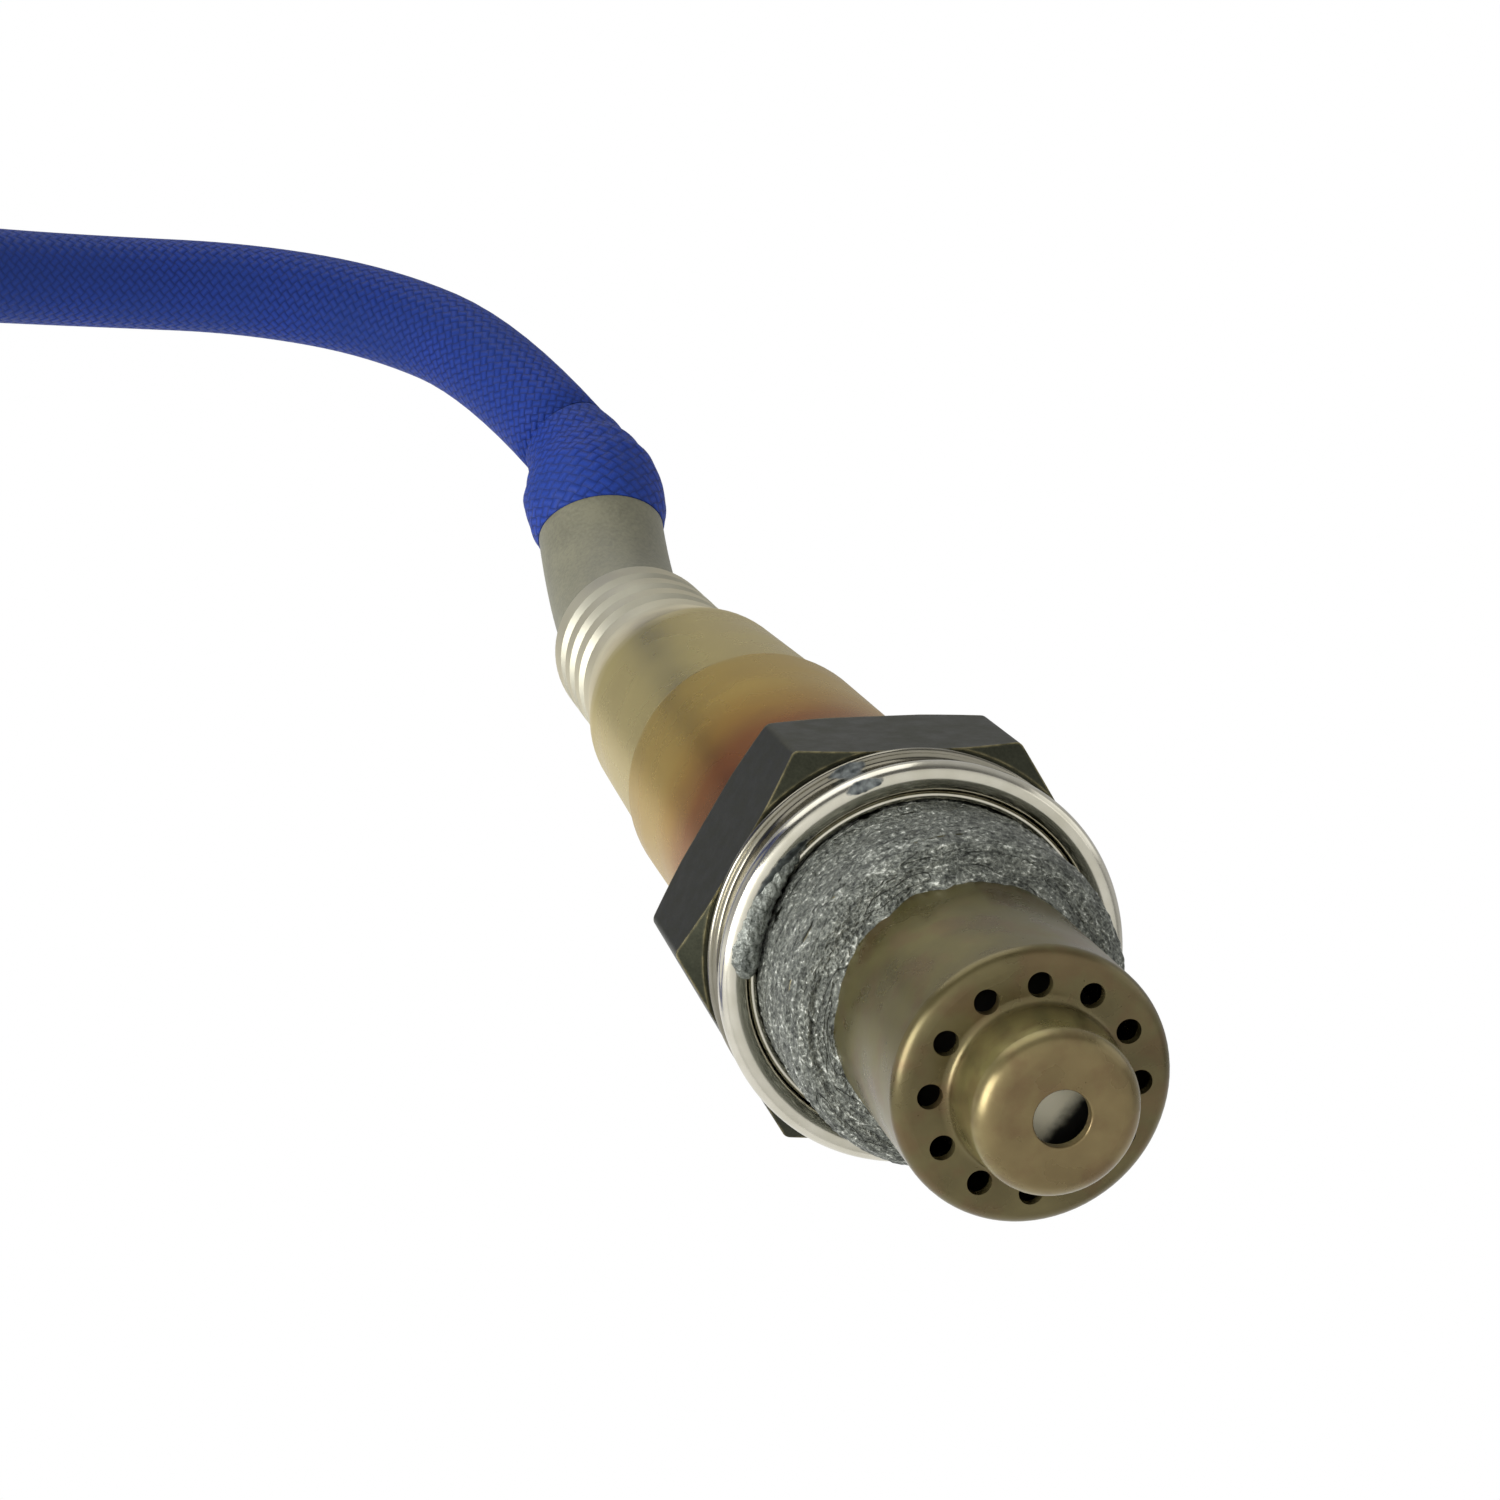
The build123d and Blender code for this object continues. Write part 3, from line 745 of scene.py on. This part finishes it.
streaks = node(tree, "ShaderNodeTexNoise", {"Vector": squeezed(1.3, 0.40), "Scale": 1.0, "Detail": 5.0})
flecks = node(tree, "ShaderNodeTexNoise", {"Vector": squeezed(0.23, 0.17), "Scale": 1.0, "Detail": 4.0})
tears = node(tree, "ShaderNodeTexNoise", {"Vector": squeezed(7.5, 1.5), "Scale": 1.0, "Detail": 2.0})
mixed = node(
    tree,
    "ShaderNodeMix",
    {"Factor": 0.62, "A": streaks.outputs["Fac"], "B": flecks.outputs["Fac"]},
    data_type="FLOAT",
)
print("paste nodes so far", len(tree.nodes))

# %% [markdown]
# Graphite is dark between its flakes and bright on them, so one noise sets colour, gloss and relief together.  The
# near-white top of the colours is a painted glint on the flakes.
# Where the slowest noise crosses its middle value the paste is torn, as a thin groove.

# %% paste: colour, gloss and tears
shade = node(
    tree,
    "ShaderNodeValToRGB",
    {"Fac": mixed.outputs["Result"]},
    stops=[
        (0.34, colour("30322e")),
        (0.47, colour("5f625b")),
        (0.57, colour("868980")),
        # painted glint: the near-white flecks
        (0.66, colour("dcded4")),
    ],
)
tree.links.new(shade.outputs["Color"], shader.inputs["Base Color"])
gloss = node(
    tree,
    "ShaderNodeMapRange",
    {"Value": flecks.outputs["Fac"], "From Min": 0.40, "From Max": 0.62, "To Min": 0.50, "To Max": 0.20},
)
tree.links.new(gloss.outputs["Result"], shader.inputs["Roughness"])
near = node(tree, "ShaderNodeMath", {0: tears.outputs["Fac"], 1: 0.5}, operation="SUBTRACT")
gap = node(tree, "ShaderNodeMath", {0: near.outputs["Value"]}, operation="ABSOLUTE")
torn = node(
    tree,
    "ShaderNodeMapRange",
    {"Value": gap.outputs["Value"], "From Min": 0.0, "From Max": 0.007, "To Min": -0.40, "To Max": 0.0},
)
ridge = node(tree, "ShaderNodeMath", {0: mixed.outputs["Result"], 1: torn.outputs["Result"]}, operation="ADD")
relief = node(
    tree, "ShaderNodeBump", {"Height": ridge.outputs["Value"], "Distance": 0.42 * MM, "Strength": 1.0}
)
tree.links.new(relief.outputs["Normal"], shader.inputs["Normal"])
thread_paste.data.materials.append(paste)
lump_finish, tree, shader = speckled(
    "graphite_paste_lump", "5a5e59", "a2a69d", 0.26, (0.12, 0.34), 0.20, metallic=0.4
)
paste_lump.data.materials.append(lump_finish)
print("paste nodes", len(paste.node_tree.nodes))

# %% [markdown]
# The folded ring is bright nickel.  A thin smear of paste lies on its crest, in a patch set by angle and distance
# from the axis, and a grimy film lies next to the lump.

# %% sealing ring
nickel, tree, shader = speckled("bright_nickel", "c9c5b4", "dad6c8", 1.2, (0.16, 0.26), 0.004, metallic=1.0)
bright = shader.inputs["Base Color"].links[0].from_socket
gloss = shader.inputs["Roughness"].links[0].from_socket
where = node(tree, "ShaderNodeTexCoord").outputs["Object"]
part = node(tree, "ShaderNodeSeparateXYZ", {"Vector": where})
turn = node(tree, "ShaderNodeMath", {0: part.outputs["Y"], 1: part.outputs["X"]}, operation="ARCTAN2")
level = node(tree, "ShaderNodeCombineXYZ", {"X": part.outputs["X"], "Y": part.outputs["Y"], "Z": 0.0})
away = node(tree, "ShaderNodeVectorMath", {0: level.outputs["Vector"]}, operation="LENGTH")
ragged = node(tree, "ShaderNodeTexNoise", {"Vector": where, "Scale": 1 / (0.5 * MM), "Detail": 5.0})


def patch(angle, half_angle, distance_mm, half_mm):
    """1 inside a patch of the ring and 0 outside it, with a ragged edge."""
    parts = []
    for source, middle, size in (
        (turn.outputs["Value"], radians(angle), radians(half_angle)),
        (away.outputs["Value"], distance_mm * MM, half_mm * MM),
    ):
        off = node(tree, "ShaderNodeMath", {0: source, 1: middle}, operation="SUBTRACT")
        share = node(tree, "ShaderNodeMath", {0: off.outputs["Value"], 1: size}, operation="DIVIDE")
        parts.append(node(tree, "ShaderNodeMath", {0: share.outputs["Value"], 1: 2.0}, operation="POWER"))
    both = node(tree, "ShaderNodeMath", {0: parts[0].outputs["Value"], 1: parts[1].outputs["Value"]}, operation="ADD")
    edge = node(tree, "ShaderNodeMath", {0: both.outputs["Value"], 1: ragged.outputs["Fac"]}, operation="ADD")
    return node(
        tree,
        "ShaderNodeMapRange",
        {"Value": edge.outputs["Value"], "From Min": 1.15, "From Max": 1.45, "To Min": 1.0, "To Max": 0.0},
    )


crest_smear = patch(-110.0, 6.0, 10.85, 0.30)
lump_film = patch(-154.0, 26.0, 9.95, 0.62)
smears = node(
    tree, "ShaderNodeMath", {0: crest_smear.outputs["Result"], 1: lump_film.outputs["Result"]}, operation="MAXIMUM"
)
print("nickel nodes so far", len(tree.nodes))

# %% [markdown]
# The waist behind the bead sees little light, so it is painted darker by its height, as painted shade, and the flange
# on the hexagon is darker too.  Smears and grime are mixed over the bright metal, and a smear is dull where the
# nickel is glossy.

# %% painted shade of the waist, grime and smears on the ring
dirt = node(
    tree,
    "ShaderNodeValToRGB",
    {"Fac": ragged.outputs["Fac"]},
    stops=[(0.35, colour("4a4e4f")), (0.65, colour("8d9291"))],
)
# painted shade: the waist is darkened by its height, and the flange less so
waist = node(
    tree,
    "ShaderNodeValToRGB",
    {
        "Fac": node(
            tree, "ShaderNodeMapRange", {"Value": part.outputs["Z"], "From Min": -4.1 * MM, "From Max": 0.0}
        ).outputs["Result"]
    },
    stops=[
        (0.0, (0, 0, 0, 1)),
        (0.42, (0, 0, 0, 1)),
        (0.52, (0.8, 0.8, 0.8, 1)),
        (0.84, (0.8, 0.8, 0.8, 1)),
        (0.89, (0.62, 0.62, 0.62, 1)),
        (1.0, (0.62, 0.62, 0.62, 1)),
    ],
)
shadowed = node(
    tree,
    "ShaderNodeMix",
    {0: waist.outputs["Color"], 6: bright, 7: colour("4d4736")},
    data_type="RGBA",
)
tone = node(
    tree,
    "ShaderNodeMix",
    {0: smears.outputs["Value"], 6: shadowed.outputs[2], 7: dirt.outputs["Color"]},
    data_type="RGBA",
)
tree.links.new(tone.outputs[2], shader.inputs["Base Color"])
dull = node(
    tree, "ShaderNodeMix", {"Factor": smears.outputs["Value"], "A": gloss, "B": 0.55}, data_type="FLOAT"
)
tree.links.new(dull.outputs["Result"], shader.inputs["Roughness"])
folded_ring.data.materials.append(nickel)
print("nickel nodes", len(tree.nodes))


# %% [markdown]
# The colour of an oxide film tells how hot the steel was there, so on a turned piece it goes by the height alone.
# A ramp over the height gives the bands, and slow noise moves them to and fro, because heat never spreads evenly.
# Some bands are not heat colour: the rear sleeve carries a painted highlight, and the inner tube painted shade.

# %% bands of heat colour
def heat_bands(tree, part, where, bands, span_mm, sway_mm):
    """Ramp that goes through bands, each (height in mm, hex), between the two heights of span_mm."""
    low_mm, high_mm = span_mm
    slow = node(tree, "ShaderNodeTexNoise", {"Vector": where, "Scale": 1 / (6.0 * MM), "Detail": 3.0})
    sway = node(
        tree,
        "ShaderNodeMapRange",
        {"Value": slow.outputs["Fac"], "To Min": -sway_mm * MM, "To Max": sway_mm * MM},
    )
    height = node(tree, "ShaderNodeMath", {0: part.outputs["Z"], 1: sway.outputs["Result"]}, operation="ADD")
    share = node(
        tree,
        "ShaderNodeMapRange",
        {"Value": height.outputs["Value"], "From Min": low_mm * MM, "From Max": high_mm * MM},
    )
    tint = node(
        tree,
        "ShaderNodeValToRGB",
        {"Fac": share.outputs["Result"]},
        stops=[((h - low_mm) / (high_mm - low_mm), colour(c)) for h, c in bands],
    )
    return tint


# %% [markdown]
# One recipe then serves the two protection tubes and the rear sleeve.  Over the bands it lays mottling and brown
# stains, and it changes the gloss from patch to patch.

# %% heat-tinted steel
def tempered(
    name, bands, span_mm, sway_mm, grain_mm, rough, mottle, stain=0.0, bump_mm=0.003, dull=(0.0, 0.0), **values
):
    """Metal with heat bands; rough is a range, and dull a height in mm and the roughness added above it."""
    material, tree, shader = finish_of(name, **values)
    where = node(tree, "ShaderNodeTexCoord").outputs["Object"]
    part = node(tree, "ShaderNodeSeparateXYZ", {"Vector": where})
    tint = heat_bands(tree, part, where, bands, span_mm, sway_mm)
    fine = node(tree, "ShaderNodeTexNoise", {"Vector": where, "Scale": 1 / (grain_mm * MM), "Detail": 2.0})
    cloud = node(tree, "ShaderNodeTexNoise", {"Vector": where, "Scale": 0.2 / (grain_mm * MM), "Detail": 4.0})
    grey = node(
        tree,
        "ShaderNodeValToRGB",
        {"Fac": cloud.outputs["Fac"]},
        stops=[(0.30, (1 - mottle, 1 - 1.1 * mottle, 1 - 1.2 * mottle, 1)), (0.70, (1, 1, 1, 1))],
    )
    spots = node(tree, "ShaderNodeTexNoise", {"Vector": where, "Scale": 1 / (1.8 * MM), "Detail": 5.0})
    brown = node(
        tree,
        "ShaderNodeMapRange",
        {"Value": spots.outputs["Fac"], "From Min": 0.48, "From Max": 0.62, "To Max": stain},
    )
    tint_mix = node(
        tree,
        "ShaderNodeMix",
        {0: brown.outputs["Result"], 6: tint.outputs["Color"], 7: colour("6c5038")},
        data_type="RGBA",
    )
    toned = node(
        tree,
        "ShaderNodeMix",
        {0: 1.0, 6: tint_mix.outputs[2], 7: grey.outputs["Color"]},
        data_type="RGBA",
        blend_type="MULTIPLY",
    )
    tree.links.new(toned.outputs[2], shader.inputs["Base Color"])
    gloss = node(
        tree,
        "ShaderNodeMapRange",
        {"Value": cloud.outputs["Fac"], "From Min": 0.3, "From Max": 0.7, "To Min": rough[0], "To Max": rough[1]},
    )
    duller = node(
        tree,
        "ShaderNodeMapRange",
        {
            "Value": part.outputs["Z"],
            "From Min": (dull[0] - 4) * MM,
            "From Max": (dull[0] + 4) * MM,
            "To Max": dull[1],
        },
    )
    total = node(tree, "ShaderNodeMath", {0: gloss.outputs["Result"], 1: duller.outputs["Result"]}, operation="ADD")
    tree.links.new(total.outputs["Value"], shader.inputs["Roughness"])
    relief = node(tree, "ShaderNodeBump", {"Height": fine.outputs["Fac"], "Distance": bump_mm * MM})
    tree.links.new(relief.outputs["Normal"], shader.inputs["Normal"])
    return material


# %% [markdown]
# The outer protection tube has been hottest.  It is bronze and olive, and a little lighter on its nose.

# %% outer protection tube
tube_bands = [
    (-25.8, "80704c"),
    (-25.3, "8a7e56"),
    (-24.6, "928a58"),
    (-22.4, "766c46"),
    (-21.9, "696040"),
    (-20.0, "6e663c"),
    (-11.0, "6a6238"),
]
outer = tempered(
    "bronze_tempered_tube",
    tube_bands,
    span_mm=(-25.8, -9.0),
    sway_mm=0.12,
    grain_mm=0.45,
    rough=(0.24, 0.36),
    mottle=0.26,
    stain=0.36,
    bump_mm=0.004,
    Metallic=0.6,
)
dress(outer, "outer_protection_tube")
print("bands on the tube", len(tube_bands))

# %% [markdown]
# The tube inside shows only through the hole in the nose.  Its end is pale, and one side of it is painted dark, as
# painted shade.
# Deeper in, behind the gas holes, it is painted dark all round, as painted shade.

# %% inner protection tube
# painted shade: the near-black bands deeper in stand for the shade behind the gas holes
inner_bands = [(-24.4, "faf5df"), (-23.5, "f4eed2"), (-22.9, "2c2a22"), (-9.0, "22201a")]
inner = tempered(
    "inner_tube_pale_and_painted_shade",
    inner_bands,
    span_mm=(-24.4, -9.0),
    sway_mm=0.1,
    grain_mm=0.5,
    rough=(0.4, 0.55),
    mottle=0.1,
    Metallic=0.1,
)
tree = inner.node_tree
shader = tree.nodes["Principled BSDF"]
unshaded_tint = shader.inputs["Base Color"].links[0].from_socket
where = node(tree, "ShaderNodeTexCoord").outputs["Object"]
# painted shade: one side of the tube's end is painted dark, with a ragged edge
side = node(tree, "ShaderNodeVectorMath", {0: where, 1: (0.74, 0.67, 0.0)}, operation="DOT_PRODUCT")
ragged = node(tree, "ShaderNodeTexNoise", {"Vector": where, "Scale": 1 / (0.5 * MM), "Detail": 4.0})
bent = node(
    tree,
    "ShaderNodeMath",
    {0: ragged.outputs["Fac"], 1: 0.5 * MM, 2: side.outputs["Value"]},
    operation="MULTIPLY_ADD",
)
hole_painted_shade = node(
    tree,
    "ShaderNodeMapRange",
    {"Value": bent.outputs["Value"], "From Min": 0.85 * MM, "From Max": 1.75 * MM},
    interpolation_type="SMOOTHSTEP",
)
hole_painted_shade_mix = node(
    tree, "ShaderNodeMix", {0: hole_painted_shade.outputs["Result"], 6: unshaded_tint, 7: colour("151411")}, data_type="RGBA"
)
tree.links.new(hole_painted_shade_mix.outputs[2], shader.inputs["Base Color"])
dress(inner, "inner_protection_tube")
print("inner tube nodes", len(tree.nodes))

# %% [markdown]
# The rear sleeve runs through the whole range, since one end sits on the hexagon and the other holds the boot.  Its
# neck has stayed cool, so it is grey, and it is duller than the rest.  The pale cream band just before the neck is a
# painted highlight on the rounded shoulder.

# %% rear sleeve
sleeve_bands = [
    (7.8, "8a5a48"),
    (14.0, "75371c"),
    (18.0, "87491b"),
    (22.5, "a67f34"),
    (27.0, "b2964c"),
    (34.6, "ae9650"),
    (36.0, "b9ad76"),
    (53.0, "b8ad76"),
    # painted highlight on the rounded shoulder before the neck
    (56.5, "e6dfc2"),
    (63.0, "cfccb8"),
    (77.5, "bfbdac"),
]
sleeve = tempered(
    "gold_tempered_sleeve",
    sleeve_bands,
    span_mm=(7.8, 78.0),
    sway_mm=2.2,
    grain_mm=0.9,
    rough=(0.24, 0.30),
    mottle=0.12,
    dull=(56, 0.20),
    Metallic=0.8,
    Specular_Tint=colour("f6ead0"),
)
dress(sleeve, "rear_sleeve")
print("bands on the sleeve", len(sleeve_bands))

# %% [markdown]
# ## Hidden metal, ceramic, rubber and plastic
#
# These pieces are out of sight in the housing and the plug, or small, but a section or an exploded view shows
# them, so each has the grain and gloss of its real stuff.  A table keeps them side by side: the two shades, the
# grain in millimetres, the range of roughness, the relief in millimetres, further values, and the pieces.

# %% table of even finishes
metal_pins = [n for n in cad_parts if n.startswith(("contact_", "terminal_"))]
metal_pins = [n for n in metal_pins if n not in ("contact_holder", "terminal_lock")]
steel_rings = ["clamp_ring", "holder_spring_ring"]
ceramics = ["lower_ceramic_bush", "upper_ceramic_bush", "contact_holder"]
plug_shells = ["connector_cap", "connector_housing", "connector_latch"]
even_finishes = [
    ("plain_steel", "8d8b84", "b0aea8", 0.5, (0.3, 0.45), 0.008, {"metallic": 1.0}, steel_rings),
    ("gold_flash", "b08c46", "d8b768", 0.3, (0.18, 0.34), 0.004, {"metallic": 1.0}, metal_pins),
    ("fired_alumina", "dcd9cf", "efede6", 0.25, (0.42, 0.58), 0.01, {}, ceramics),
    ("fired_zirconia", "cfc6ae", "e6dfcb", 0.2, (0.3, 0.45), 0.006, {}, ["sensing_element"]),
    ("pressed_talc", "b3ad9c", "cfcabc", 0.15, (0.8, 0.95), 0.04, {}, ["talc_seal"]),
    ("resistor_film", "23211f", "3a3531", 0.2, (0.3, 0.5), 0.01, {"Coat_Weight": 0.4}, ["trim_resistor"]),
    ("khaki_silicone", "63614e", "77755f", 0.3, (0.5, 0.66), 0.03, {"Sheen_Weight": 0.15}, ["silicone_boot"]),
    ("black_fluoro_rubber", "1d1c1a", "2c2a27", 0.25, (0.6, 0.75), 0.02, {}, ["wire_seal"]),
    ("rust_silicone", "7a3020", "93422c", 0.25, (0.5, 0.65), 0.02, {}, ["connector_seal"]),
    ("black_glass_nylon", "17181a", "26282a", 0.16, (0.42, 0.6), 0.035, {}, plug_shells),
    ("black_tie_nylon", "161616", "222223", 0.5, (0.3, 0.42), 0.012, {}, ["coil_tie"]),
    ("grey_nylon", "6f7274", "83868a", 0.2, (0.45, 0.6), 0.03, {}, ["terminal_lock"]),
]
for name, dark, light, grain_mm, rough, bump_mm, values, pieces in even_finishes:
    dress(speckled(name, dark, light, grain_mm, rough, bump_mm, **values)[0], *pieces)
print("even finishes", len(even_finishes))

# %% [markdown]
# The five wires inside the sleeve differ by colour alone: black, grey, red, yellow and white.

# %% wire insulation
wire_shades = [
    ("1c1c1e", "29292c"),
    ("77797c", "8d8f92"),
    ("9a2420", "b43a30"),
    ("c9a52c", "dcbb48"),
    ("d9d8d2", "ebeae5"),
]
for number, (dark, light) in enumerate(wire_shades, start=1):
    wire = speckled(f"wire_insulation_{number}", dark, light, 0.6, (0.28, 0.40), 0.006)[0]
    dress(wire, f"lead_wire_{number}")
print("wires", len(wire_shades))

# %% [markdown]
# ## Woven sleeve
#
# The sleeve is braided from two sets of flat strands that cross at an angle and pass over and under each other.
# The map along the tube is in metres, so a whole number of strands fits round the girth, and the pattern meets
# itself.  The silicone coat leaves a soft gloss on the strands.

# %% blue braid
strands = 26
blue, tree, shader = finish_of("blue_braided_sleeve", Specular_IOR_Level=0.22)
woven = node(tree, "ShaderNodeUVMap", uv_map="weave")
uv = node(tree, "ShaderNodeSeparateXYZ", {"Vector": woven.outputs["UV"]})
rate = strands / (pi * cable_diameter)
ways = []
for operation in ("ADD", "SUBTRACT"):
    raw = node(tree, "ShaderNodeMath", {0: uv.outputs["X"], 1: uv.outputs["Y"]}, operation=operation)
    ways.append(node(tree, "ShaderNodeMath", {0: raw.outputs["Value"], 1: rate}, operation="MULTIPLY"))
crowns, steps_of = [], []
for way in ways:
    phase = node(tree, "ShaderNodeMath", {0: way.outputs["Value"], 1: pi}, operation="MULTIPLY")
    wave = node(tree, "ShaderNodeMath", {0: phase.outputs["Value"]}, operation="SINE")
    crowns.append(node(tree, "ShaderNodeMath", {0: wave.outputs["Value"]}, operation="ABSOLUTE"))
    steps_of.append(node(tree, "ShaderNodeMath", {0: way.outputs["Value"]}, operation="FLOOR"))
count = node(
    tree, "ShaderNodeMath", {0: steps_of[0].outputs["Value"], 1: steps_of[1].outputs["Value"]}, operation="ADD"
)
over = node(tree, "ShaderNodeMath", {0: count.outputs["Value"], 1: 2.0}, operation="FLOORED_MODULO")
height = node(
    tree,
    "ShaderNodeMix",
    {"Factor": over.outputs["Value"], "A": crowns[0].outputs["Value"], "B": crowns[1].outputs["Value"]},
    data_type="FLOAT",
)
print("strands", strands, "at", round(pi * cable_diameter / strands / MM, 2), "mm")

# %% [markdown]
# Fibres roughen the strands, and a slow cloud makes the blue paler here and there, as a coated sleeve that has been
# handled is.  The blue is darker low in the weave and lighter on the crowns of the strands: painted shade between the
# strands and painted light on them.

# %% colour and relief of the braid
where = node(tree, "ShaderNodeTexCoord").outputs["Object"]
fibre = node(tree, "ShaderNodeTexNoise", {"Vector": where, "Scale": 1 / (0.18 * MM), "Detail": 3.0})
cloud = node(tree, "ShaderNodeTexNoise", {"Vector": where, "Scale": 1 / (9.0 * MM), "Detail": 2.0})
worked = node(
    tree,
    "ShaderNodeMix",
    {"Factor": 0.3, "A": height.outputs["Result"], "B": fibre.outputs["Fac"]},
    data_type="FLOAT",
)
# painted shade and light: the blue follows the height of the weave
shade = node(
    tree,
    "ShaderNodeValToRGB",
    {"Fac": worked.outputs["Result"]},
    stops=[(0.15, colour("0a1850")), (0.55, colour("162e88")), (0.95, colour("2244b0"))],
)
paler = node(
    tree,
    "ShaderNodeMix",
    {0: cloud.outputs["Fac"], 6: shade.outputs["Color"], 7: colour("1c387f")},
    data_type="RGBA",
)
tree.links.new(paler.outputs[2], shader.inputs["Base Color"])
gloss = node(
    tree,
    "ShaderNodeMapRange",
    {"Value": fibre.outputs["Fac"], "From Min": 0.3, "From Max": 0.7, "To Min": 0.50, "To Max": 0.68},
)
tree.links.new(gloss.outputs["Result"], shader.inputs["Roughness"])
relief = node(
    tree, "ShaderNodeBump", {"Height": worked.outputs["Result"], "Distance": 0.16 * MM, "Strength": 0.8}
)
tree.links.new(relief.outputs["Normal"], shader.inputs["Normal"])
for piece in (collar, lead):
    piece.data.materials.append(blue)
print("braid nodes", len(tree.nodes))
